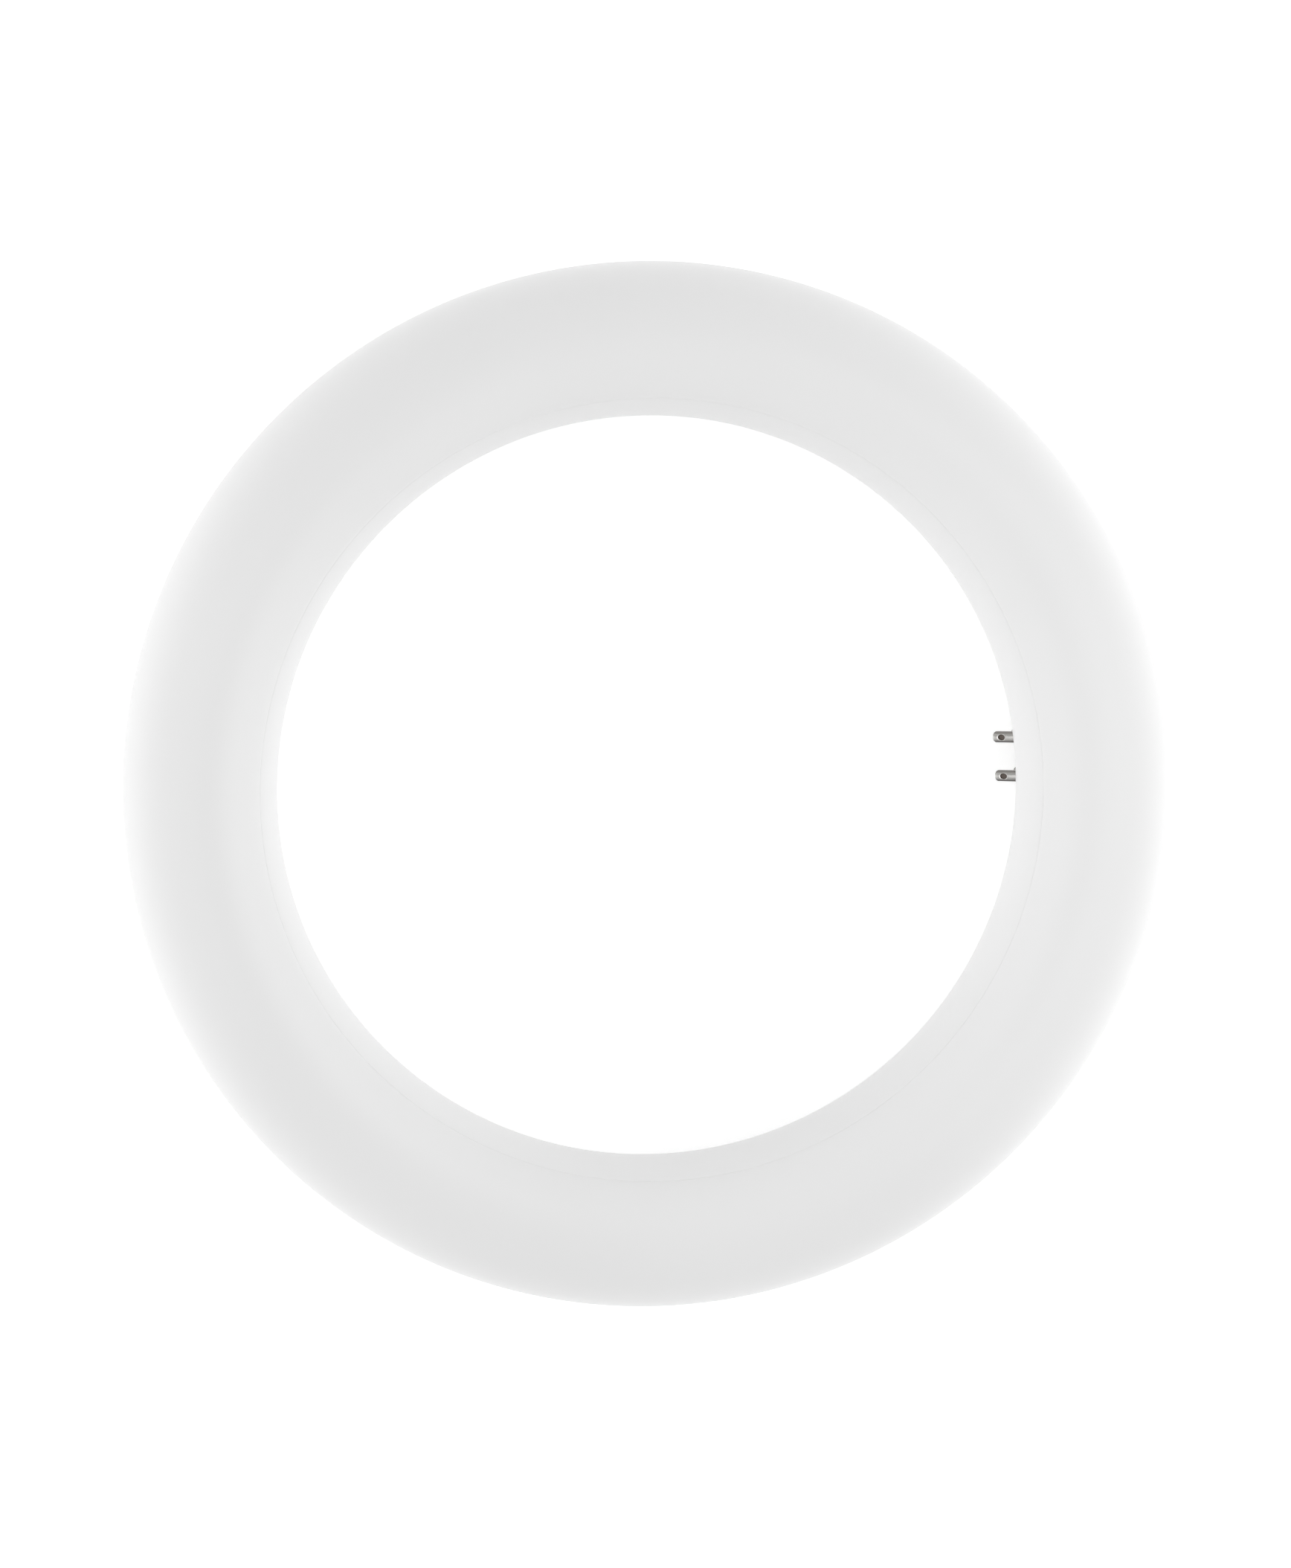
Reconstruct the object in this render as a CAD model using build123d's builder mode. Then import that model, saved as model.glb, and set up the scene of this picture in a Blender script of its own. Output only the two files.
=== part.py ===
# Ring-shaped LED lamp: a round plastic tube bent to a circle, split into a front diffuser and a
# rear housing, with a four-pin base on its inner rear side and its driver and light strips inside.
# The ring lies in the XY plane with its middle at the origin. Its front faces +Z and its base is on +X.
import os
from math import cos, degrees, radians, sin

from build123d import *

os.makedirs("parts", exist_ok=True)

# The ring and its round section
ring_diameter = 209.6
tube_diameter = 30.6
tube_radius = tube_diameter / 2
ring_radius = (ring_diameter - tube_diameter) / 2

# The pins point inward and rearward at this angle to the ring's plane, and the light goes the other way
lean = 45
across = Vector(sin(radians(lean)), 0, -cos(radians(lean)))
along = Vector(0, 1, 0)
light = Vector(cos(radians(lean)), 0, sin(radians(lean)))

# Walls of the two shells, and the lap joint where the housing's lip runs inside the diffuser's edge
diffuser_wall = 1.5
housing_wall = 1.8
seam_drop = 4          # degrees that the diffuser wraps past the tube's widest line on each side
seam_groove = 0.15     # open groove between the two visible edges
edge_break = 0.2       # small chamfer on both edges of the groove
lap_length = 2.4
lap_depth = 0.75       # taken off the inside of the diffuser's edge
lap_clearance = 0.1
weld_overlap = 0.3     # how far ribs and seats run into the wall that carries them

# Light strips and the stepped ledges that carry them
strip_width = 19
strip_thickness = 1.0
strip_top = 0          # height of the strips' lit face above the tube's middle
strip_count = 4
strip_gap = 3.4        # between the ends of neighbouring strips
strip_side_clearance = 0.15
ledge_bearing = 1.3
ledge_thickness = 1.6
ledge_stop = 0.4       # height of the ledge's side stop above the strip
package_width = 2.8
package_length = 3.5
package_height = 0.7
package_rim = 0.3
package_window_depth = 0.15
packages_per_strip = 20
package_end_margin = 6
link_diameter = 0.9
link_spacing = 6
link_reach = 3         # how far a jumper lies on each strip

# Flat land on the housing and the base that plugs into it
land_cut = 1.4         # how far the land is below the tube's round skin
land_length = 24
seat_depth = 2.3
seat_width = 15
seat_length = 27
plug_width = 10.8
plug_length = 17
plug_corner = 2
plug_clearance = 0.15
flange_width = 12.6
flange_length = 24
flange_thickness = 1.7

# Pins, four in a rectangle
pin_diameter = 2.35
pin_length = 7.5
pin_pitch_across = 6.35
pin_pitch_along = 7.92
pin_nose_radius = 0.6
pin_bore = 1.3
pin_nose_wall = 0.8
stake_width = 1.2
stake_length = 1.7
stake_from_tip = 2.35
shank_diameter = 2.8
shank_clearance = 0.03
collar_diameter = 3.6
collar_thickness = 0.8
pin_root = 0.4         # how far the pin stands past the flange inside
lead_diameter = 0.8
lead_hole = 1.0
lead_stub = 0.6        # how far a lead stands above the driver board
lead_insertion = 4     # how far a lead reaches into its pin

# Driver board
board_width = 14
board_length = 46
board_thickness = 1.2
board_clearance = 0.2  # between the pins' inner ends and the board
rest_thickness = 1.4
rest_inset = 3.5       # from the board's ends to its rests

# Heights above the tube's middle, along the light's direction
land_face = land_cut - tube_radius
flange_seat = land_face + seat_depth
flange_top = flange_seat + flange_thickness
board_seat = flange_top + pin_root + board_clearance
board_top = board_seat + board_thickness
strip_seat = strip_top - strip_thickness

diffuser_inner = tube_radius - diffuser_wall
housing_inner = tube_radius - housing_wall
rebate_radius = diffuser_inner + lap_depth
lip_outer = rebate_radius - lap_clearance


def as_angle(length):
    """Angle that a length takes up along the tube's outer skin, in degrees of its section."""
    return degrees(length / tube_radius)


def ring_angle(length):
    """Angle that a length takes up along the middle of the tube, in degrees round the ring."""
    return degrees(length / ring_radius)


def section(turn=0):
    """Plane that cuts the tube square at an angle round the ring: x across it, y to the light."""
    middle = Vector(ring_radius, 0, 0).rotate(Axis.Z, turn)
    return Plane(origin=middle, x_dir=across.rotate(Axis.Z, turn), z_dir=-along.rotate(Axis.Z, turn))


def facing_light(height, x=0, y=0):
    """Plane above the base that faces the light: x across the tube and y along it."""
    middle = Vector(ring_radius, 0, 0)
    return Plane(origin=middle + light * height + across * x + along * y, x_dir=across, z_dir=light)


def wall_band(inner_radius, outer_radius, start, end, mode=Mode.ADD):
    """Part of a round wall in the tube's section, between two radii and two angles."""
    with BuildLine() as outline:
        outer = CenterArc((0, 0), outer_radius, start, end - start)
        inner = CenterArc((0, 0), inner_radius, start, end - start)
        Line(outer @ 0, inner @ 0)
        Line(outer @ 1, inner @ 1)
    make_face(outline.edges(), mode=mode)


def finish(builder, name):
    """Name a finished piece and write its file."""
    builder.part.label = name
    export_step(builder.part, f"parts/{name}.step")


# Front diffuser: the opal shell on the light's side. The inside of both edges is cut back for the lap.
diffuser_ends = (-seam_drop, 180 + seam_drop)
rebate = as_angle(lap_length)
cut_radius = diffuser_inner - lap_depth

with BuildPart() as front_diffuser:
    with BuildSketch(section()) as diffuser_section:
        wall_band(diffuser_inner, tube_radius, *diffuser_ends)
        corners = diffuser_section.vertices().group_by(SortBy.DISTANCE)[-1]
        chamfer(corners, edge_break)
        wall_band(cut_radius, rebate_radius, -90, diffuser_ends[0] + rebate, mode=Mode.SUBTRACT)
        wall_band(cut_radius, rebate_radius, diffuser_ends[1] - rebate, 270, mode=Mode.SUBTRACT)
    revolve(axis=Axis.Z)
finish(front_diffuser, "front_diffuser")

# Rear housing: the white shell on the pins' side, with lips, strip ledges, a flat land and board rests.
housing_ends = (180 + seam_drop + as_angle(seam_groove), 360 - seam_drop - as_angle(seam_groove))
lip = as_angle(lap_length - lap_clearance)
lip_root = as_angle(seam_groove + weld_overlap)
stop_inner = strip_width / 2 + strip_side_clearance
ledge_inner = strip_width / 2 - ledge_bearing
stop_top = strip_top + ledge_stop

with BuildPart() as base_seat:
    with BuildSketch(facing_light(land_face)):
        Rectangle(seat_width, seat_length)
    extrude(amount=seat_depth)
    with BuildSketch(section()):
        Circle(housing_inner + weld_overlap)
    revolve(axis=Axis.Z, mode=Mode.INTERSECT)

rest_offset = board_length / 2 - rest_inset
with BuildPart() as board_rests:
    with BuildSketch(facing_light(board_seat)):
        with GridLocations(0, 2 * rest_offset, 1, 2):
            Rectangle(tube_diameter, rest_thickness)
    extrude(amount=-tube_diameter)
    with BuildSketch(section()):
        Circle(housing_inner + weld_overlap)
    revolve(axis=Axis.Z, mode=Mode.INTERSECT)

with BuildPart() as rear_housing:
    with BuildSketch(section()) as housing_section:
        for side in (-1, 1):
            with Locations((side * (ledge_inner + tube_radius) / 2, strip_seat - ledge_thickness / 2)):
                Rectangle(tube_radius - ledge_inner, ledge_thickness)
            with Locations((side * (stop_inner + tube_radius) / 2, (strip_seat + stop_top) / 2)):
                Rectangle(tube_radius - stop_inner, stop_top - strip_seat)
        Circle(housing_inner + weld_overlap, mode=Mode.INTERSECT)
        wall_band(housing_inner, lip_outer, 180 + seam_drop - lip, 180 + seam_drop + lip_root)
        wall_band(housing_inner, lip_outer, -seam_drop - lip_root, -seam_drop + lip)
        wall_band(housing_inner, tube_radius, *housing_ends)
        corners = housing_section.vertices().group_by(SortBy.DISTANCE)[-1]
        chamfer(corners, edge_break)
    revolve(axis=Axis.Z)
    add(base_seat.part)
    add(board_rests.part)
    with BuildSketch(facing_light(land_face)):
        Rectangle(tube_diameter, land_length)
    extrude(amount=-tube_radius, mode=Mode.SUBTRACT)
    with BuildSketch(facing_light(land_face)):
        RectangleRounded(plug_width + 2 * plug_clearance, plug_length + 2 * plug_clearance, plug_corner)
    extrude(amount=seat_depth, mode=Mode.SUBTRACT)
finish(rear_housing, "rear_housing")

# Pin base: the insulator that plugs the land's opening, with a flange bonded on the seat inside.
with BuildPart() as pin_base:
    with BuildSketch(facing_light(land_face)):
        RectangleRounded(plug_width, plug_length, plug_corner)
    extrude(amount=seat_depth)
    with BuildSketch(facing_light(flange_seat)):
        RectangleRounded(flange_width, flange_length, plug_corner)
    extrude(amount=flange_thickness)
    with BuildSketch(facing_light(flange_top)):
        with GridLocations(pin_pitch_across, pin_pitch_along, 2, 2):
            Circle(collar_diameter / 2 + shank_clearance)
    extrude(amount=-collar_thickness, mode=Mode.SUBTRACT)
    with BuildSketch(facing_light(land_face)):
        with GridLocations(pin_pitch_across, pin_pitch_along, 2, 2):
            Circle(shank_diameter / 2 + shank_clearance)
    extrude(amount=seat_depth + flange_thickness, mode=Mode.SUBTRACT)
finish(pin_base, "pin_base")

# Contact pins: hollow, round-nosed, each with a collar in the base and a stake hole near its nose.
# The first two are the front pair, on the side that shows from the front of the ring.
pin_places = [
    (side * pin_pitch_across / 2, end * pin_pitch_along / 2)
    for side in (-1, 1)
    for end in (1, -1)
]
pin_tip = land_face - pin_length
pin_top = flange_top + pin_root

for number, (x, y) in enumerate(pin_places, start=1):
    with BuildPart() as contact_pin:
        with BuildSketch(facing_light(pin_tip, x, y)):
            Circle(pin_diameter / 2)
        extrude(amount=pin_length)
        fillet(contact_pin.edges().sort_by(Axis((0, 0, 0), light))[0], pin_nose_radius)
        with BuildSketch(facing_light(land_face, x, y)):
            Circle(shank_diameter / 2)
        extrude(amount=pin_top - land_face)
        with BuildSketch(facing_light(flange_top - collar_thickness, x, y)):
            Circle(collar_diameter / 2)
        extrude(amount=collar_thickness)
        with BuildSketch(facing_light(pin_top, x, y)):
            Circle(pin_bore / 2)
        extrude(amount=pin_tip + pin_nose_wall - pin_top, mode=Mode.SUBTRACT)
        stake_point = facing_light(pin_tip + stake_from_tip, x, y).origin
        with BuildSketch(Plane(origin=stake_point, x_dir=along, z_dir=-across)):
            SlotOverall(stake_length, stake_width, rotation=90)
        extrude(amount=pin_diameter, mode=Mode.SUBTRACT)
    finish(contact_pin, f"contact_pin_{number}")

    with BuildPart() as pin_lead:
        with BuildSketch(facing_light(board_top + lead_stub, x, y)):
            Circle(lead_diameter / 2)
        extrude(amount=pin_top - lead_insertion - board_top - lead_stub)
    finish(pin_lead, f"pin_lead_{number}")

# Driver board: a straight board above the base, with a hole for each pin's lead.
with BuildPart() as driver_board:
    with BuildSketch(facing_light(board_seat)):
        Rectangle(board_width, board_length)
        with GridLocations(pin_pitch_across, pin_pitch_along, 2, 2):
            Circle(lead_hole / 2, mode=Mode.SUBTRACT)
    extrude(amount=board_thickness)
finish(driver_board, "driver_board")

# Components on the driver board, each placed by its middle across and along the board. Those of the
# mains side are set from the board's +y end, and those that feed the strips from its -y end.
input_end = board_length / 2
output_end = -board_length / 2


def board_spot(place, height=0):
    """Plane over the driver board at a place (x, y) on it and a height above its face."""
    return facing_light(board_top + height, *place)


def lying_plane(place, diameter):
    """Plane square to the board's length through the middle of a round body that lies on the board."""
    return Plane(origin=board_spot(place, diameter / 2).origin, x_dir=across, z_dir=along)


# Fuse resistor: a round body with two wider end caps
fuse_across = -4.4
fuse_inset = 13
fuse_place = (fuse_across, input_end - fuse_inset)
fuse_cap_diameter = 2.6
fuse_body_diameter = 2.2
fuse_length = 6.8
fuse_cap_length = 1.4
with BuildPart() as fuse_resistor:
    with BuildSketch(lying_plane(fuse_place, fuse_cap_diameter)):
        Circle(fuse_body_diameter / 2)
    extrude(amount=fuse_length / 2, both=True)
    for end in (-1, 1):
        with BuildSketch(lying_plane(fuse_place, fuse_cap_diameter).offset(end * fuse_length / 2)):
            Circle(fuse_cap_diameter / 2)
        extrude(amount=-end * fuse_cap_length)
finish(fuse_resistor, "fuse_resistor")

# Varistor: a coated disc that stands across the board
varistor_across = 0.2
varistor_inset = 14.4
varistor_place = (varistor_across, input_end - varistor_inset)
varistor_diameter = 5
varistor_thickness = 2.4
varistor_edge = 0.6
with BuildPart() as varistor:
    with BuildSketch(lying_plane(varistor_place, varistor_diameter)):
        Circle(varistor_diameter / 2)
    extrude(amount=varistor_thickness / 2, both=True)
    chamfer(varistor.edges().filter_by(GeomType.CIRCLE), varistor_edge)
finish(varistor, "varistor")

# Film capacitor: a moulded block
film_across = 1.6
film_inset = 9.8
film_place = (film_across, input_end - film_inset)
film_length = 7.2
film_thickness = 2.6
film_headroom = 2.1    # under the strips
film_height = strip_seat - film_headroom - board_top
film_corner = 0.4
with BuildPart() as film_capacitor:
    with BuildSketch(board_spot(film_place)):
        RectangleRounded(film_length, film_thickness, film_corner)
    extrude(amount=film_height)
finish(film_capacitor, "film_capacitor")

# Bridge rectifier and control chip: moulded bodies with flat legs
leg_width = 0.4
leg_reach = 1.0
leg_height = 0.45
bridge_across = 0
bridge_inset = 4.5
bridge_place = (bridge_across, input_end - bridge_inset)
bridge_size = (3.9, 4.7, 1.6)
bridge_leg_rows = 2
bridge_leg_pitch = 2.54
control_across = 3
control_inset = 7.4
control_place = (control_across, output_end + control_inset)
control_size = (3.9, 4.9, 1.5)
control_leg_rows = 4
control_leg_pitch = 1.27


def leaded_chip(place, width, length, height, leg_rows, leg_pitch):
    """A chip body with rows of flat legs on both sides, lying across the board."""
    with BuildPart() as chip:
        with BuildSketch(board_spot(place)):
            with GridLocations(0, leg_pitch, 1, leg_rows):
                Rectangle(width + 2 * leg_reach, leg_width)
        extrude(amount=leg_height)
        with BuildSketch(board_spot(place)):
            Rectangle(width, length)
        extrude(amount=height)
    return chip


bridge_rectifier = leaded_chip(bridge_place, *bridge_size, bridge_leg_rows, bridge_leg_pitch)
finish(bridge_rectifier, "bridge_rectifier")
control_chip = leaded_chip(control_place, *control_size, control_leg_rows, control_leg_pitch)
finish(control_chip, "control_chip")

# Bulk capacitor: a can that lies along the board, with a rolled groove near its sealed end
bulk_across = -3.2
bulk_inset = 11
bulk_place = (bulk_across, output_end + bulk_inset)
bulk_diameter = 5
bulk_length = 11
bulk_groove_width = 0.7
bulk_groove_depth = 0.35
bulk_groove_inset = 1.6
with BuildPart() as bulk_capacitor:
    with BuildSketch(lying_plane(bulk_place, bulk_diameter)):
        Circle(bulk_diameter / 2)
    extrude(amount=bulk_length / 2, both=True)
    with BuildSketch(lying_plane(bulk_place, bulk_diameter).offset(bulk_length / 2 - bulk_groove_inset)):
        Circle(bulk_diameter / 2)
        Circle(bulk_diameter / 2 - bulk_groove_depth, mode=Mode.SUBTRACT)
    extrude(amount=bulk_groove_width, mode=Mode.SUBTRACT)
finish(bulk_capacitor, "bulk_capacitor")

# Power inductor and filter choke: wound drum cores
inductor_across = 3
inductor_inset = 13.4
inductor_place = (inductor_across, output_end + inductor_inset)
inductor_diameter = 6
inductor_winding = 5.3
inductor_height = 4.6
inductor_rim = 0.9
choke_across = -2.6
choke_inset = 2.8
choke_place = (choke_across, output_end + choke_inset)
choke_diameter = 4.4
choke_winding = 3.9
choke_height = 3.6
choke_rim = 0.7


def drum_coil(place, diameter, winding, height, rim):
    """A drum core that stands on the board, with its winding between two rims."""
    with BuildPart() as coil:
        with BuildSketch(board_spot(place)):
            Circle(diameter / 2)
        extrude(amount=rim)
        with BuildSketch(board_spot(place, rim)):
            Circle(winding / 2)
        extrude(amount=height - 2 * rim)
        with BuildSketch(board_spot(place, height - rim)):
            Circle(diameter / 2)
        extrude(amount=rim)
    return coil


power_inductor = drum_coil(inductor_place, inductor_diameter, inductor_winding, inductor_height, inductor_rim)
finish(power_inductor, "power_inductor")
filter_choke = drum_coil(choke_place, choke_diameter, choke_winding, choke_height, choke_rim)
finish(filter_choke, "filter_choke")

# Chip resistors: three in a row at the board's end
chip_row_across = 3.6
chip_row_inset = 2.2
chip_row_place = (chip_row_across, output_end + chip_row_inset)
chip_width = 1.6
chip_length = 3.2
chip_height = 0.6
chip_pitch = 2.1
with BuildPart() as chip_resistors:
    with BuildSketch(board_spot(chip_row_place)):
        with GridLocations(chip_pitch, 0, 3, 1):
            Rectangle(chip_width, chip_length)
    extrude(amount=chip_height)
finish(chip_resistors, "chip_resistors")

# Light strips: curved strips on the housing's ledges, lit face outward and forward. They are parted
# at the base, where the driver feeds the first and the last, and at equal turns round the ring.
strip_turn = 360 / strip_count
gap_turn = ring_angle(strip_gap)
margin_turn = ring_angle(package_end_margin)
package_turn = (strip_turn - gap_turn - 2 * margin_turn) / (packages_per_strip - 1)

with BuildPart() as package:
    with BuildSketch(facing_light(strip_top)):
        Rectangle(package_width, package_length)
    extrude(amount=package_height)
    with BuildSketch(facing_light(strip_top + package_height)):
        Rectangle(package_width - 2 * package_rim, package_length - 2 * package_rim)
    extrude(amount=-package_window_depth, mode=Mode.SUBTRACT)

for number in range(strip_count):
    strip_start = number * strip_turn + gap_turn / 2
    with BuildPart() as led_strip:
        with BuildSketch(section(strip_start)):
            with Locations((0, strip_seat + strip_thickness / 2)):
                Rectangle(strip_width, strip_thickness)
        revolve(axis=Axis.Z, revolution_arc=strip_turn - gap_turn)
    finish(led_strip, f"led_strip_{number + 1}")

    with BuildPart() as led_packages:
        for place in range(packages_per_strip):
            turn = strip_start + margin_turn + place * package_turn
            add(package.part.rotate(Axis.Z, turn))
    finish(led_packages, f"led_packages_{number + 1}")

# Strip links: a pair of jumper wires that lie on both strips, across each gap but the one at the base
link_turn = ring_angle(strip_gap + 2 * link_reach)
for number in range(1, strip_count):
    with BuildPart() as strip_link:
        with BuildSketch(section(number * strip_turn - link_turn / 2)):
            with Locations((0, strip_top + link_diameter / 2)):
                with GridLocations(link_spacing, 0, 2, 1):
                    Circle(link_diameter / 2)
        revolve(axis=Axis.Z, revolution_arc=link_turn)
    finish(strip_link, f"strip_link_{number}")

# Output leads: one wire up through the base's gap to each of the first and last strips
output_bend = 1.4
output_spacing = 2.6
output_clearance = 0.05
for number, way in enumerate((1, -1), start=1):
    lead_x = way * output_spacing / 2
    lead_lift = strip_top + link_diameter / 2 + output_clearance
    lead_reach = way * (strip_gap / 2 + link_reach)
    with BuildPart() as output_lead:
        with BuildLine(Plane(origin=facing_light(0, lead_x).origin, x_dir=along, z_dir=across)):
            FilletPolyline((0, board_top), (0, lead_lift), (lead_reach, lead_lift), radius=output_bend)
        with BuildSketch(facing_light(board_top, lead_x)):
            Circle(link_diameter / 2)
        sweep()
    finish(output_lead, f"output_lead_{number}")
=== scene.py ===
from math import asin, cos, pi, radians, sin, sqrt

import bmesh
import bpy
from mathutils import Matrix, Vector


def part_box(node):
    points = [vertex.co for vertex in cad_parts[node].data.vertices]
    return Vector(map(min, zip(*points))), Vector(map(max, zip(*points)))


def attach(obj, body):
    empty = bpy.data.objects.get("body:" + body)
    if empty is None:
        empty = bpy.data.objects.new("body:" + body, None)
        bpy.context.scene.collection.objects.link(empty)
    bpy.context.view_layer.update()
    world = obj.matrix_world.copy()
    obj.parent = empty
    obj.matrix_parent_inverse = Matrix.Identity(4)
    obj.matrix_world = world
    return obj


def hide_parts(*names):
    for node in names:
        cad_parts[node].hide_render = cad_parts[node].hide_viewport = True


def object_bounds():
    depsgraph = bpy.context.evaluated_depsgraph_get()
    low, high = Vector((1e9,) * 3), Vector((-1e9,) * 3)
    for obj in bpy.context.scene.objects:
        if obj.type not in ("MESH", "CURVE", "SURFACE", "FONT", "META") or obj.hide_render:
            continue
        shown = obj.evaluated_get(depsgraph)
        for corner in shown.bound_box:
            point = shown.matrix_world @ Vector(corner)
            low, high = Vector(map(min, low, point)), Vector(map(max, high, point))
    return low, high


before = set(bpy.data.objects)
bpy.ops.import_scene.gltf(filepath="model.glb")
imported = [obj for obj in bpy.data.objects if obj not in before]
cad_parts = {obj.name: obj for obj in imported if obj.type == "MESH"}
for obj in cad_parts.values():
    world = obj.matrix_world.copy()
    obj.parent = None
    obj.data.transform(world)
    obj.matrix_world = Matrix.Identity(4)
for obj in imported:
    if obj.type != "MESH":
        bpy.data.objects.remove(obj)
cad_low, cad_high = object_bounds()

# Front diffuser: the opal shell on the light's side, moulded in one piece. It wraps a little past the
# tube's widest line, the inside of its edges is cut back for the housing's lips, and both its edges
# sink a little toward the joint, as a moulding's do.
tube_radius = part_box("front_diffuser")[1].z
ring_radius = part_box("front_diffuser")[1].x - tube_radius
diffuser_wall, rebate_depth, lap_width = 0.0015, 0.00075, 0.0024
diffuser_inner = tube_radius - diffuser_wall
rebate_radius = diffuser_inner + rebate_depth
wrap = radians(4)
lap = lap_width / tube_radius
edge_sink, edge_width, edge_round = 0.00005, 0.0016, 0.00004
edge_run = edge_width / tube_radius
edge_shares = (1, 0.75, 0.5, 0.25)
arc_step = radians(2.5)
ring_steps = 288
merge_distance, corner_reach = 1e-6, 1e-5
crease_angle = radians(35)
lean = radians(45)
across = Vector((sin(lean), 0, -cos(lean)))
along = Vector((0, 1, 0))
light = Vector((cos(lean), 0, sin(lean)))


def section_place(x=0, y=0):
    """Place a section drawn across and to the light at the base, moved x across and y along the tube."""
    place = Matrix((across, light, -along)).transposed().to_4x4()
    place.translation = Vector((ring_radius, 0, 0)) + across * x + along * y
    return place


def polar(radius, angle):
    """Point of the section at a radius and angle from the tube's middle."""
    return Vector((radius * cos(angle), radius * sin(angle)))


def start_outline(x, y):
    """A bmesh with the first point of a section's outline."""
    bm = bmesh.new()
    first = bmesh.ops.create_vert(bm, co=(x, y, 0))["vert"][0]
    return bm, first


def arc_on(bm, point, angle, centre=(0, 0, 0), step=arc_step):
    """Carry the outline on from a point along an arc."""
    turned = bmesh.ops.spin(bm, geom=[point], cent=centre, axis=(0, 0, 1), angle=angle,
                            steps=max(2, round(abs(angle) / step)))
    return turned["geom_last"][0]


def line_to(bm, point, *places):
    """Carry the outline on from a point by straight edges."""
    for place in places:
        point = bmesh.ops.extrude_vert_indiv(bm, verts=[point])["verts"][0]
        point.co = Vector(place).to_3d()
    return point


def in_or_out(bm, point, radius):
    """Carry the outline on straight toward or away from the tube's middle."""
    return line_to(bm, point, point.co.normalized() * radius)


def sinking_skin(start_angle, sweep):
    """Start a shell's outline with its outer skin, which sinks at both edges toward the joint."""
    first = start_angle + edge_run
    last = start_angle + (sweep - edge_run)
    near = [polar(tube_radius - edge_sink * share ** 2, first - edge_run * share) for share in edge_shares]
    far = [polar(tube_radius - edge_sink * share ** 2, last + edge_run * share) for share in edge_shares]
    bm, start = start_outline(*near[0])
    point = line_to(bm, start, *near[1:], polar(tube_radius, first))
    point = arc_on(bm, point, sweep - 2 * edge_run)
    return bm, start, line_to(bm, point, *reversed(far))


def close_up(bm):
    """Merge the points that a turn doubled, and turn the faces outward."""
    bmesh.ops.remove_doubles(bm, verts=bm.verts, dist=merge_distance)
    bmesh.ops.recalc_face_normals(bm, faces=bm.faces)


def turn_about_ring(bm, steps):
    """Close a section's outline, place it in the tube and turn it about the ring's axis."""
    bmesh.ops.remove_doubles(bm, verts=bm.verts, dist=merge_distance)
    bmesh.ops.transform(bm, matrix=section_place(), verts=bm.verts)
    bmesh.ops.spin(bm, geom=bm.verts[:] + bm.edges[:], cent=(0, 0, 0), axis=(0, 0, 1),
                   angle=2 * pi, steps=steps, use_merge=True)
    close_up(bm)


def as_piece(bm, name):
    """An object of a finished bmesh, smooth but for its creases."""
    mesh = bpy.data.meshes.new(name)
    bm.to_mesh(mesh)
    bm.free()
    piece = bpy.data.objects.new(name, mesh)
    bpy.context.collection.objects.link(piece)
    mesh.shade_smooth()
    mesh.set_sharp_from_angle(angle=crease_angle)
    return piece


def shell(bm, name, rounded):
    """A shell of its outline, with its outer edges rounded at the given points of the section."""
    corners = [section_place() @ corner for corner in rounded]
    turn_about_ring(bm, ring_steps)

    def at_corner(vert):
        reach = vert.co.xy.length
        return any(abs(reach - corner.x) < corner_reach and abs(vert.co.z - corner.z) < corner_reach
                   for corner in corners)

    edges = [edge for edge in bm.edges if all(at_corner(vert) for vert in edge.verts)]
    bmesh.ops.bevel(bm, geom=edges, offset=edge_round, segments=3, profile=0.5,
                    affect="EDGES", material=-1)
    return as_piece(bm, name)


outline, start, point = sinking_skin(-wrap, pi + 2 * wrap)
near_edge, far_edge = start.co.copy(), point.co.copy()
point = in_or_out(outline, point, rebate_radius)
point = arc_on(outline, point, -lap)
point = in_or_out(outline, point, diffuser_inner)
point = arc_on(outline, point, 2 * lap - pi - 2 * wrap)
point = in_or_out(outline, point, rebate_radius)
point = arc_on(outline, point, -lap)
line_to(outline, point, start.co)
diffuser = shell(outline, "opal_front", [near_edge, far_edge])

cloud_detail, grain_detail = 3, 2
grain_strength, grain_depth = 0.05, 0.00004
gloss_change = 0.05


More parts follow.
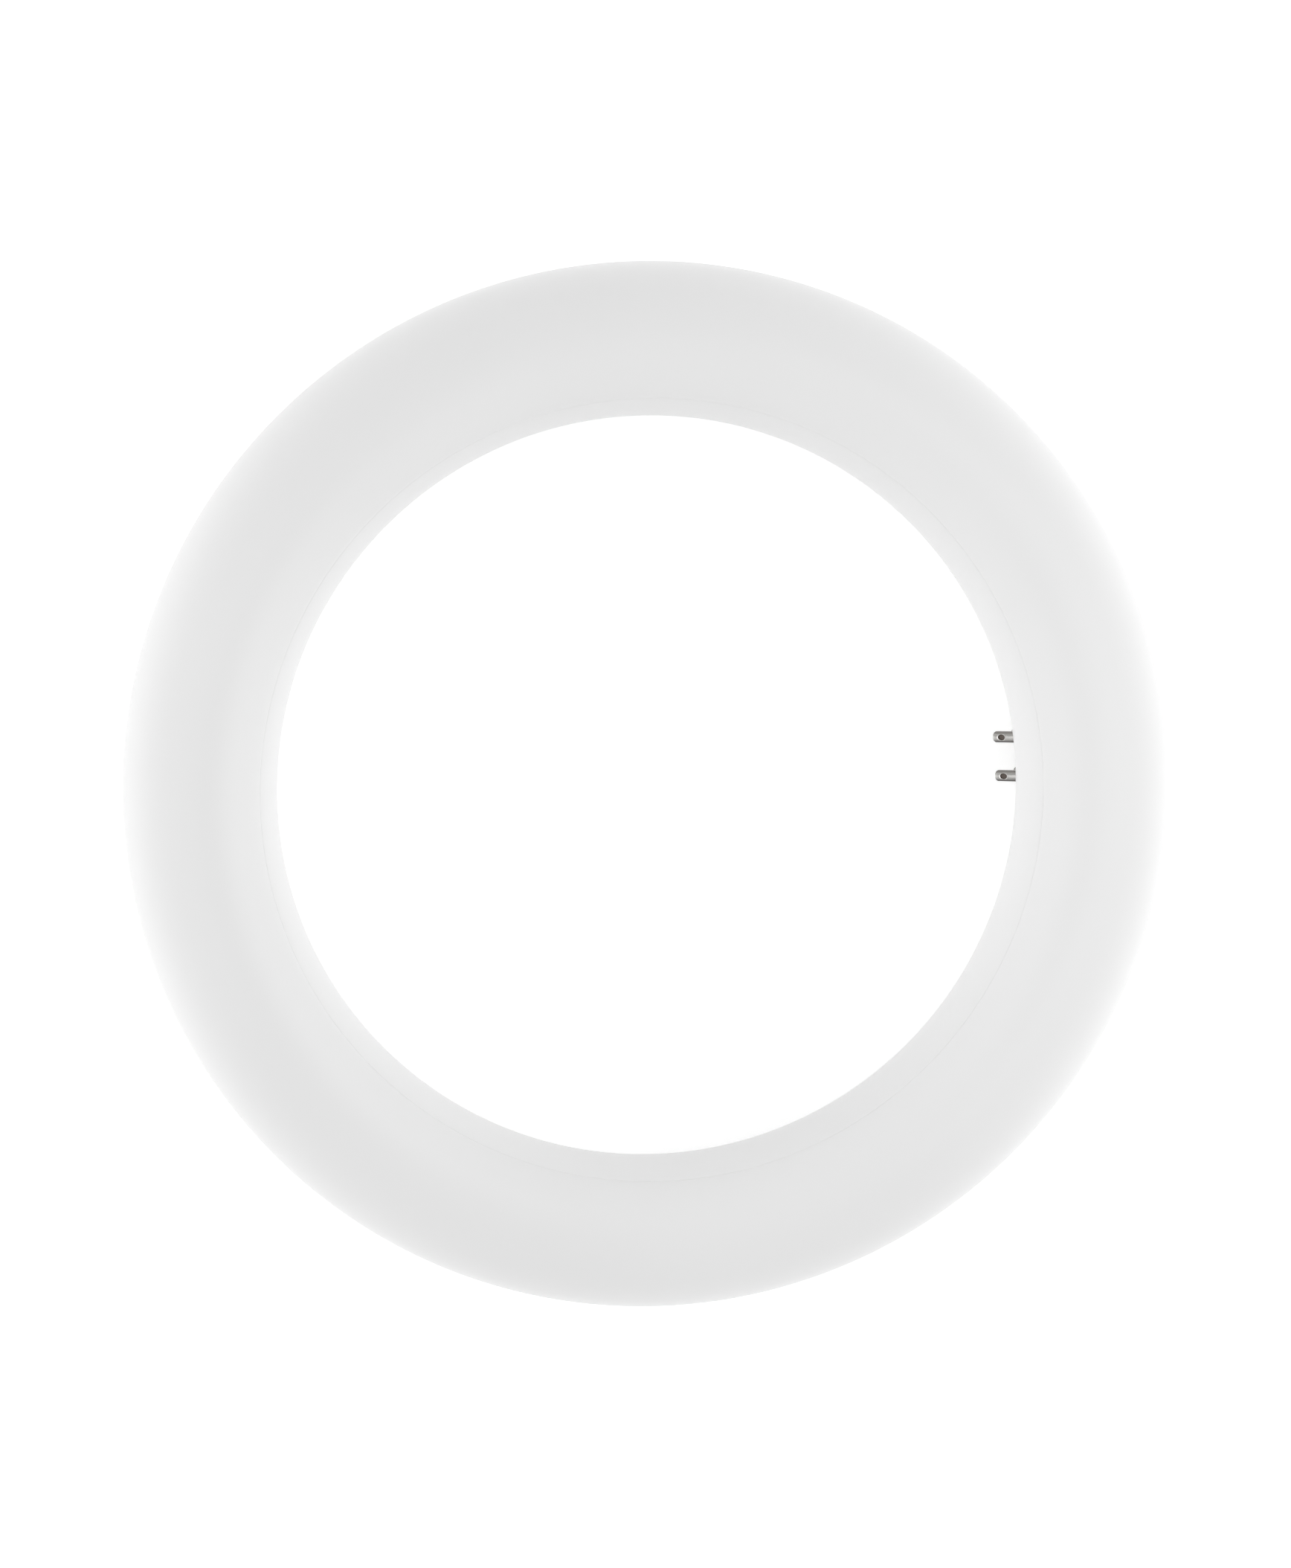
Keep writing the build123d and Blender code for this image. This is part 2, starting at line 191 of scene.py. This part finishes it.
def moulded(name, colour, roughness, cloud_scale, grain_scale, metallic=0.0, unevenness=0.03):
    """A moulded or coated surface: soft clouds in its colour and gloss, and a fine grain."""
    material = bpy.data.materials.new(name)
    material.use_nodes = True
    nodes, links = material.node_tree.nodes, material.node_tree.links
    shader = nodes["Principled BSDF"]
    shader.inputs["Metallic"].default_value = metallic
    place = nodes.new("ShaderNodeTexCoord")
    clouds = nodes.new("ShaderNodeTexNoise")
    clouds.inputs["Scale"].default_value = cloud_scale
    clouds.inputs["Detail"].default_value = cloud_detail
    links.new(place.outputs["Object"], clouds.inputs["Vector"])
    tint = nodes.new("ShaderNodeValToRGB")
    dark, pale = tint.color_ramp.elements
    dark.color = (*[value * (1 - unevenness) for value in colour], 1)
    pale.color = (*[min(1, value * (1 + unevenness / 2)) for value in colour], 1)
    links.new(clouds.outputs["Fac"], tint.inputs["Fac"])
    links.new(tint.outputs["Color"], shader.inputs["Base Color"])
    gloss = nodes.new("ShaderNodeMapRange")
    gloss.inputs["To Min"].default_value = roughness * (1 - gloss_change)
    gloss.inputs["To Max"].default_value = roughness * (1 + gloss_change)
    links.new(clouds.outputs["Fac"], gloss.inputs["Value"])
    links.new(gloss.outputs["Result"], shader.inputs["Roughness"])
    grain = nodes.new("ShaderNodeTexNoise")
    grain.inputs["Scale"].default_value = grain_scale
    grain.inputs["Detail"].default_value = grain_detail
    links.new(place.outputs["Object"], grain.inputs["Vector"])
    bump = nodes.new("ShaderNodeBump")
    bump.inputs["Strength"].default_value = grain_strength
    bump.inputs["Distance"].default_value = grain_depth
    links.new(grain.outputs["Fac"], bump.inputs["Height"])
    links.new(bump.outputs["Normal"], shader.inputs["Normal"])
    return material


def finish_piece(piece, material):
    """Give a piece one material all over, also where it was cut or joined."""
    piece.data.materials.clear()
    piece.data.materials.append(material)


finish_piece(diffuser, moulded("opal plastic", (0.815, 0.815, 0.815), 0.33, 18, 900))
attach(diffuser, "root")
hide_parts("front_diffuser")

# Rear housing: the white shell on the pins' side, moulded with thin lips that run inside the
# diffuser's edges, stepped ledges for the light strips and, at the base, a flat land with an opening.
housing_wall, lip_clearance = 0.0018, 0.0001
housing_inner = tube_radius - housing_wall
lip_outer = rebate_radius - lip_clearance
groove_width, lip_width = 0.00001, 0.0023
groove = groove_width / tube_radius
lip = lip_width / tube_radius
strip_edge, strip_clearance, ledge_width = 0.0095, 0.00015, 0.0013
stop_inner, stop_top = strip_edge + strip_clearance, 0.0004
ledge_inner, ledge_top, ledge_under = strip_edge - ledge_width, -0.001, -0.0026
land_depth, land_length = 0.0014, 0.024
land = -tube_radius + land_depth
seat_height, flange_thickness, pin_rise, board_gap = 0.0023, 0.0017, 0.0004, 0.0002
flange_seat = land + seat_height
flange_top = flange_seat + flange_thickness
pin_top = flange_top + pin_rise
board_seat = pin_top + board_gap
seat_width, seat_length = 0.015, 0.027
rest_thickness = 0.0014
rest_places = (-0.0195, 0.0195)
weld = 0.0003
core_step = radians(5)
plug_width, plug_length, plug_corner = 0.0108, 0.017, 0.002
plug_clearance = 0.00015
overcut, opening_depth = 0.001, 0.006
rim_reach = 1e-7
land_cut_width, land_cut_reach = 0.05, 0.03


def wall_place(height, side):
    """Where the housing's inner wall is at a height, on the side across."""
    return Vector((side * sqrt(housing_inner ** 2 - height ** 2), height))


outline, start, point = sinking_skin(pi + wrap + groove, pi - 2 * wrap - 2 * groove)
near_edge, far_edge = start.co.copy(), point.co.copy()
point = in_or_out(outline, point, lip_outer)
point = arc_on(outline, point, groove + lip)
point = in_or_out(outline, point, housing_inner)
point = line_to(outline, point, wall_place(stop_top, 1), (stop_inner, stop_top), (stop_inner, ledge_top),
                (ledge_inner, ledge_top), (ledge_inner, ledge_under), wall_place(ledge_under, 1))
point = arc_on(outline, point, 2 * asin(-ledge_under / housing_inner) - pi)
point = line_to(outline, point, (-ledge_inner, ledge_under), (-ledge_inner, ledge_top),
                (-stop_inner, ledge_top), (-stop_inner, stop_top), wall_place(stop_top, -1),
                polar(housing_inner, pi + wrap - lip))
point = in_or_out(outline, point, lip_outer)
point = arc_on(outline, point, lip + groove)
line_to(outline, point, start.co)
housing = shell(outline, "white_back", [near_edge, far_edge])


def plate(width, length, corner, low, high, edge=0.0, y=0.0):
    """A plate square to the light's direction, with round corners and, at its low face, a round rim."""
    bm = bmesh.new()
    bmesh.ops.create_grid(bm, x_segments=1, y_segments=1, size=0.5)
    bmesh.ops.scale(bm, vec=(width, length, 1), verts=bm.verts)
    if corner:
        bmesh.ops.bevel(bm, geom=bm.verts, offset=corner, segments=8, profile=0.5,
                        affect="VERTICES", material=-1)
    bmesh.ops.translate(bm, vec=(0, 0, low), verts=bm.verts)
    raised = bmesh.ops.extrude_face_region(bm, geom=bm.faces[:])
    top = [item for item in raised["geom"] if isinstance(item, bmesh.types.BMVert)]
    bmesh.ops.translate(bm, vec=(0, 0, high - low), verts=top)
    bmesh.ops.recalc_face_normals(bm, faces=bm.faces)
    if edge:
        rim = [item for item in bm.edges if all(abs(vert.co.z - low) < rim_reach for vert in item.verts)]
        bmesh.ops.bevel(bm, geom=rim, offset=edge, segments=3, profile=0.5,
                        affect="EDGES", material=-1)
    bmesh.ops.rotate(bm, matrix=Matrix.Rotation(-pi / 2, 3, "X"), verts=bm.verts)
    bmesh.ops.transform(bm, matrix=section_place(0, y), verts=bm.verts)
    return bm


def cut(piece, tool, operation="DIFFERENCE"):
    """Cut a piece with a tool, or join it on, and throw the tool away."""
    step = piece.modifiers.new(operation, "BOOLEAN")
    step.operation = operation
    step.solver = "EXACT"
    step.material_mode = "TRANSFER"
    step.object = tool
    bpy.context.view_layer.update()
    finished = piece.evaluated_get(bpy.context.evaluated_depsgraph_get())
    shaped = bpy.data.meshes.new_from_object(finished)
    piece.modifiers.clear()
    shaped.name = piece.data.name
    piece.data = shaped
    bpy.data.objects.remove(tool)
    shaped.shade_smooth()
    shaped.set_sharp_from_angle(angle=crease_angle)


def inner_core():
    """The room inside the housing's wall and a little of the wall, all round the ring."""
    bm, point = start_outline(housing_inner + weld, 0)
    arc_on(bm, point, 2 * pi, step=core_step)
    turn_about_ring(bm, ring_steps // 2)
    return as_piece(bm, "inner core")


carrier = as_piece(plate(seat_width, seat_length, 0, land, flange_seat), "base seat")
for y in rest_places:
    rest = plate(2 * tube_radius, rest_thickness, 0, -tube_radius, board_seat, y=y)
    cut(carrier, as_piece(rest, "rest"), "UNION")
cut(carrier, inner_core(), "INTERSECT")
cut(housing, carrier, "UNION")
cut(housing, as_piece(plate(land_cut_width, land_length, 0, -land_cut_reach, land), "land cutter"))
opening = plate(plug_width + 2 * plug_clearance, plug_length + 2 * plug_clearance, plug_corner,
                land - overcut, land + opening_depth)
cut(housing, as_piece(opening, "opening cutter"))
finish_piece(housing, moulded("housing plastic", (0.82, 0.82, 0.82), 0.33, 16, 900, unevenness=0.02))
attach(housing, "root")
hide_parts("rear_housing")

# Pin base: the insulator that fills the land's opening, moulded in white plastic. Its flange is bonded
# inside the housing, and each pin stands in a shallow round recess in its face.
flange_width, flange_length = 0.0126, 0.024
plug_overlap, plug_edge = 0.0005, 0.0003
pitch_across, pitch_along = 0.00635, 0.00792
shank_radius = 0.0014
collar_radius, collar_thickness = 0.0018, 0.0008
collar_under = flange_top - collar_thickness
hole_clearance = 0.00003
recess_radius, recess_depth = 0.0019, 0.0003
pin_places = [(side * pitch_across / 2, end * pitch_along / 2) for side in (-1, 1) for end in (1, -1)]

plug = plate(plug_width, plug_length, plug_corner, land, flange_seat + plug_overlap, edge=plug_edge)
base = as_piece(plug, "pin_base_white")
flange = plate(flange_width, flange_length, plug_corner, flange_seat, flange_top)
cut(base, as_piece(flange, "flange"), "UNION")


def round_bar(radius, low, high, x, y, name):
    """A round bar along the light's direction, at a place over the base."""
    bm = bmesh.new()
    bmesh.ops.create_cone(bm, cap_ends=True, segments=48, radius1=radius, radius2=radius, depth=high - low)
    bmesh.ops.rotate(bm, matrix=Matrix.Rotation(-pi / 2, 3, "X"), verts=bm.verts)
    bmesh.ops.translate(bm, vec=(0, (high + low) / 2, 0), verts=bm.verts)
    bmesh.ops.transform(bm, matrix=section_place(x, y), verts=bm.verts)
    bmesh.ops.recalc_face_normals(bm, faces=bm.faces)
    return as_piece(bm, name)


for x, y in pin_places:
    for radius, low, high, name in (
        (shank_radius + hole_clearance, land - overcut, flange_top + overcut, "shank cutter"),
        (collar_radius + hole_clearance, collar_under, flange_top + overcut, "collar cutter"),
        (recess_radius, land - overcut, land + recess_depth, "recess cutter"),
    ):
        cut(base, round_bar(radius, low, high, x, y, name))
finish_piece(base, moulded("base plastic", (0.8, 0.8, 0.79), 0.4, 60, 1500))
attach(base, "root")
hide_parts("pin_base")

# Contact pins: four hollow nickel-plated brass pins with rounded noses. Each is staked onto its wire
# through an oval mark near its nose, whose inside is painted near-black brown as shade.
pin_radius, pin_length = 0.001175, 0.0075
pin_tip = land - pin_length
pin_bore = 0.00065
nose_round, nose_wall = 0.0006, 0.0008
nose_step = radians(10)
stake_from_tip, stake_depth = 0.00235, 0.00045
stake_height = pin_tip + stake_from_tip
stake_half_width, stake_half_length = 0.0006, 0.00088
dish_wider, dish_longer, dish_depth = 1.55, 1.4, 0.0003
# Painted shade on the pins: the colours the plating is darkened to on its two sides, and where it keeps its
# own.
near_painted_shade, far_painted_shade = (0.13, 0.125, 0.12, 1), (0.29, 0.28, 0.27, 1)
painted_shade_ends, unshaded_band = (0.15, 0.86), (0.44, 0.56)


def nickel():
    """Nickel plating with painted shade: darker on the faces that look along the tube, full colour between
    them.
    """
    material = moulded("nickel", (0.67, 0.66, 0.64), 0.19, 700, 4000, metallic=1.0, unevenness=0.1)
    nodes, links = material.node_tree.nodes, material.node_tree.links
    shader = nodes["Principled BSDF"]
    plating = shader.inputs["Base Color"].links[0].from_socket
    facing = nodes.new("ShaderNodeNewGeometry")
    sideways = nodes.new("ShaderNodeVectorMath")
    sideways.operation = "DOT_PRODUCT"
    sideways.inputs[1].default_value = along
    links.new(facing.outputs["Normal"], sideways.inputs[0])
    turned = nodes.new("ShaderNodeMapRange")
    turned.inputs["From Min"].default_value = -1
    links.new(sideways.outputs["Value"], turned.inputs["Value"])
    # Painted shade: the plating is darkened on the faces that look along the tube, one side more than the
    # other.
    painted_shade = nodes.new("ShaderNodeValToRGB")
    stops = painted_shade.color_ramp.elements
    stops[0].position, stops[0].color = painted_shade_ends[0], near_painted_shade
    stops[1].position, stops[1].color = painted_shade_ends[1], far_painted_shade
    for position in unshaded_band:
        stops.new(position).color = (1, 1, 1, 1)
    links.new(turned.outputs["Result"], painted_shade.inputs["Fac"])
    shaded_plating = nodes.new("ShaderNodeVectorMath")
    shaded_plating.operation = "MULTIPLY"
    links.new(plating, shaded_plating.inputs[0])
    links.new(painted_shade.outputs["Color"], shaded_plating.inputs[1])
    links.new(shaded_plating.outputs["Vector"], shader.inputs["Base Color"])
    return material


pin_metal = nickel()
# Painted shade: the inside of each stake mark gets a near-black brown for the shade in it.
stake_painted_shade = moulded("painted stake shade", (0.11, 0.085, 0.07), 0.6, 900, 4000, unevenness=0.3)


def stake_tool(half_width, half_length, depth, x, y, metal):
    """An oval bar that reaches into a pin's front side, or with no depth a shallow dish there."""
    bm = bmesh.new()
    if depth:
        bmesh.ops.create_cone(bm, cap_ends=True, segments=32, radius1=1, radius2=1, depth=2)
    else:
        bmesh.ops.create_uvsphere(bm, u_segments=32, v_segments=16, radius=1)
    bmesh.ops.scale(bm, vec=(half_width, half_length, depth or dish_depth), verts=bm.verts)
    bmesh.ops.rotate(bm, matrix=Matrix.Rotation(pi / 2, 3, "Y"), verts=bm.verts)
    bmesh.ops.translate(bm, vec=(-pin_radius, stake_height, 0), verts=bm.verts)
    bmesh.ops.transform(bm, matrix=section_place(x, y), verts=bm.verts)
    bmesh.ops.recalc_face_normals(bm, faces=bm.faces)
    tool = as_piece(bm, "stake cutter")
    finish_piece(tool, metal)
    return tool


for number, (x, y) in enumerate(pin_places, start=1):
    outline, point = start_outline(0, pin_tip)
    point = line_to(outline, point, (pin_radius - nose_round, pin_tip))
    point = arc_on(outline, point, pi / 2, centre=(pin_radius - nose_round, pin_tip + nose_round, 0),
                   step=nose_step)
    line_to(outline, point, (pin_radius, land), (shank_radius, land), (shank_radius, collar_under),
            (collar_radius, collar_under), (collar_radius, flange_top), (shank_radius, flange_top),
            (shank_radius, pin_top), (pin_bore, pin_top), (pin_bore, pin_tip + nose_wall),
            (0, pin_tip + nose_wall))
    bmesh.ops.spin(outline, geom=outline.verts[:] + outline.edges[:], cent=(0, 0, 0), axis=(0, 1, 0),
                   angle=2 * pi, steps=64, use_merge=True)
    close_up(outline)
    bmesh.ops.transform(outline, matrix=section_place(x, y), verts=outline.verts)
    pin = as_piece(outline, f"pin_{number}")
    finish_piece(pin, pin_metal)
    cut(pin, stake_tool(stake_half_width * dish_wider, stake_half_length * dish_longer, 0, x, y, pin_metal))
    cut(pin, stake_tool(stake_half_width, stake_half_length, stake_depth, x, y, stake_painted_shade))
    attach(pin, "root")
    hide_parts(f"contact_pin_{number}")

# Pin leads: four bare tinned copper wires. Each is crimped in its pin by the stake mark and soldered
# through the driver board.


def finish_nodes(material, *names):
    """Give CAD nodes that stay as they are a better material."""
    for name in names:
        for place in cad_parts[name].material_slots:
            place.material = material


tinned = moulded("tinned copper", (0.7, 0.69, 0.66), 0.3, 1500, 5000, metallic=1.0, unevenness=0.1)
finish_nodes(tinned, "pin_lead_1", "pin_lead_2", "pin_lead_3", "pin_lead_4")

# Driver board: green glass-fibre laminate over the pins, on two ribs of the housing, with the
# rectifier, filter and switching parts soldered on it.
finish_nodes(moulded("board laminate", (0.08, 0.27, 0.13), 0.42, 260, 6000, unevenness=0.2), "driver_board")
finish_nodes(moulded("flame-proof coat", (0.3, 0.42, 0.35), 0.5, 700, 4000, unevenness=0.12),
             "fuse_resistor")
finish_nodes(moulded("blue powder coat", (0.05, 0.14, 0.4), 0.55, 900, 3500, unevenness=0.15), "varistor")
finish_nodes(moulded("ochre film case", (0.5, 0.36, 0.07), 0.35, 500, 3000, unevenness=0.1),
             "film_capacitor")
finish_nodes(moulded("black epoxy", (0.028, 0.028, 0.032), 0.6, 900, 6000, unevenness=0.2),
             "bridge_rectifier", "control_chip", "chip_resistors")
finish_nodes(moulded("shrink sleeve", (0.045, 0.055, 0.075), 0.34, 300, 2500, unevenness=0.12),
             "bulk_capacitor")
finish_nodes(moulded("ferrite and winding", (0.09, 0.082, 0.075), 0.5, 1100, 5000, unevenness=0.25),
             "power_inductor", "filter_choke")

# Light strips: four aluminium boards under white solder mask, slid into the housing's ledges, each
# with a row of packages whose yellow resin turns blue light white.
finish_nodes(moulded("white solder mask", (0.86, 0.86, 0.84), 0.36, 60, 3000, unevenness=0.04),
             "led_strip_1", "led_strip_2", "led_strip_3", "led_strip_4")
finish_nodes(moulded("phosphor resin", (0.85, 0.7, 0.18), 0.34, 900, 5000, unevenness=0.08),
             "led_packages_1", "led_packages_2", "led_packages_3", "led_packages_4")

# Links and leads: thin insulated wires, soldered from strip to strip and from the driver to the
# first and the last strip.
finish_nodes(moulded("white insulation", (0.8, 0.8, 0.78), 0.45, 400, 4000, unevenness=0.05),
             "strip_link_1", "strip_link_2", "strip_link_3", "output_lead_1", "output_lead_2")

# Floor: a wide pale sheet under the lamp. It shows white and keeps a soft shadow, and from below it
# doesn't hide the lamp.
floor_reach = 4
floor_white, floor_roughness, floor_lift = 0.96, 0.9, 0.4
sheet = bmesh.new()
bmesh.ops.create_grid(sheet, x_segments=1, y_segments=1, size=floor_reach,
                      matrix=Matrix.Translation((0, 0, cad_low.z)))
floor_mesh = bpy.data.meshes.new("floor")
sheet.to_mesh(floor_mesh)
sheet.free()
floor = bpy.data.objects.new("floor", floor_mesh)
bpy.context.collection.objects.link(floor)


def backdrop_rays(nodes, links):
    """One for the rays that show the backdrop: the camera's, a reflection's and those through glass."""
    rays = nodes.new("ShaderNodeLightPath")
    shown = rays.outputs["Is Camera Ray"]
    for kind in ("Is Glossy Ray", "Is Transmission Ray"):
        either = nodes.new("ShaderNodeMath")
        either.operation = "MAXIMUM"
        links.new(shown, either.inputs[0])
        links.new(rays.outputs[kind], either.inputs[1])
        shown = either.outputs["Value"]
    return shown


floor_material = bpy.data.materials.new("floor")
floor_material.use_nodes = True
nodes, links = floor_material.node_tree.nodes, floor_material.node_tree.links
shader = nodes["Principled BSDF"]
shader.inputs["Base Color"].default_value = (floor_white, floor_white, floor_white, 1)
shader.inputs["Roughness"].default_value = floor_roughness
shader.inputs["Emission Color"].default_value = (1, 1, 1, 1)
lift = nodes.new("ShaderNodeMath")
lift.operation = "MULTIPLY"
lift.inputs[1].default_value = floor_lift
links.new(backdrop_rays(nodes, links), lift.inputs[0])
links.new(lift.outputs["Value"], shader.inputs["Emission Strength"])
seen_from = nodes.new("ShaderNodeNewGeometry")
clear = nodes.new("ShaderNodeBsdfTransparent")
sided = nodes.new("ShaderNodeMixShader")
links.new(seen_from.outputs["Backfacing"], sided.inputs["Fac"])
links.new(shader.outputs["BSDF"], sided.inputs[1])
links.new(clear.outputs["BSDF"], sided.inputs[2])
links.new(sided.outputs["Shader"], nodes["Material Output"].inputs["Surface"])
floor.data.materials.append(floor_material)

# Light: a soft room that is brightest low at the left and right of the lamp, and white to the camera
# and in reflections, with a soft square lamp over each side of the ring.
room_brightness = (2.45, 0.63, 0.06)
lamp_reach, lamp_height, lamp_size = 0.2, 0.28, 0.25
lamp_powers = (("left lamp", -1, 0.091), ("right lamp", 1, 0.156))

world = bpy.data.worlds.new("room")
bpy.context.scene.world = world
world.use_nodes = True
nodes, links = world.node_tree.nodes, world.node_tree.links
room = nodes["Background"]
room.inputs["Color"].default_value = (1, 1, 1, 1)
direction = nodes.new("ShaderNodeTexCoord")
squared = nodes.new("ShaderNodeVectorMath")
squared.operation = "MULTIPLY"
links.new(direction.outputs["Generated"], squared.inputs[0])
links.new(direction.outputs["Generated"], squared.inputs[1])
weighed = nodes.new("ShaderNodeVectorMath")
weighed.operation = "DOT_PRODUCT"
weighed.inputs[1].default_value = room_brightness
links.new(squared.outputs["Vector"], weighed.inputs[0])
links.new(weighed.outputs["Value"], room.inputs["Strength"])
white = nodes.new("ShaderNodeBackground")
white.inputs["Color"].default_value = (1, 1, 1, 1)
white.inputs["Strength"].default_value = 1
shown = nodes.new("ShaderNodeMixShader")
links.new(backdrop_rays(nodes, links), shown.inputs["Fac"])
links.new(room.outputs["Background"], shown.inputs[1])
links.new(white.outputs["Background"], shown.inputs[2])
links.new(shown.outputs["Shader"], nodes["World Output"].inputs["Surface"])

for name, sense, power in lamp_powers:
    lamp_data = bpy.data.lights.new(name, "AREA")
    lamp_data.shape = "SQUARE"
    lamp_data.size = lamp_size
    lamp_data.energy = power
    lamp = bpy.data.objects.new(name, lamp_data)
    bpy.context.collection.objects.link(lamp)
    lamp.location = (sense * lamp_reach, 0, lamp_height)
    fall = Vector((sense * ring_radius, 0, 0)) - lamp.location
    lamp.rotation_euler = fall.to_track_quat("-Z", "Y").to_euler()
    lamp.visible_camera = False

# Camera: in front of the ring and a little up and to the left of its axis, turned so that the pin base
# is just above three o'clock.
camera_distance = 1.2
camera_tilt = radians(8)
camera_side = radians(131)
picture_turn = radians(3.5)
picture_long_side = 2108
pixels_per_metre = 6733
aim_pixels = (-5, 4.7)
sensor_width = 36

right = Vector((cos(picture_turn), -sin(picture_turn), 0))
up = Vector((sin(picture_turn), cos(picture_turn), 0))
back = Vector((sin(camera_tilt) * cos(camera_side), sin(camera_tilt) * sin(camera_side), cos(camera_tilt)))
side = up.cross(back).normalized()
aim = (right * aim_pixels[0] + up * aim_pixels[1]) / pixels_per_metre
camera_data = bpy.data.cameras.new("camera")
camera_data.sensor_width = sensor_width
camera_data.lens = camera_distance * pixels_per_metre / picture_long_side * sensor_width
camera = bpy.data.objects.new("camera", camera_data)
bpy.context.collection.objects.link(camera)
camera.matrix_world = Matrix((side, back.cross(side), back)).transposed().to_4x4()
camera.location = aim + back * camera_distance
bpy.context.scene.camera = camera
bpy.context.scene.view_settings.view_transform = "Standard"
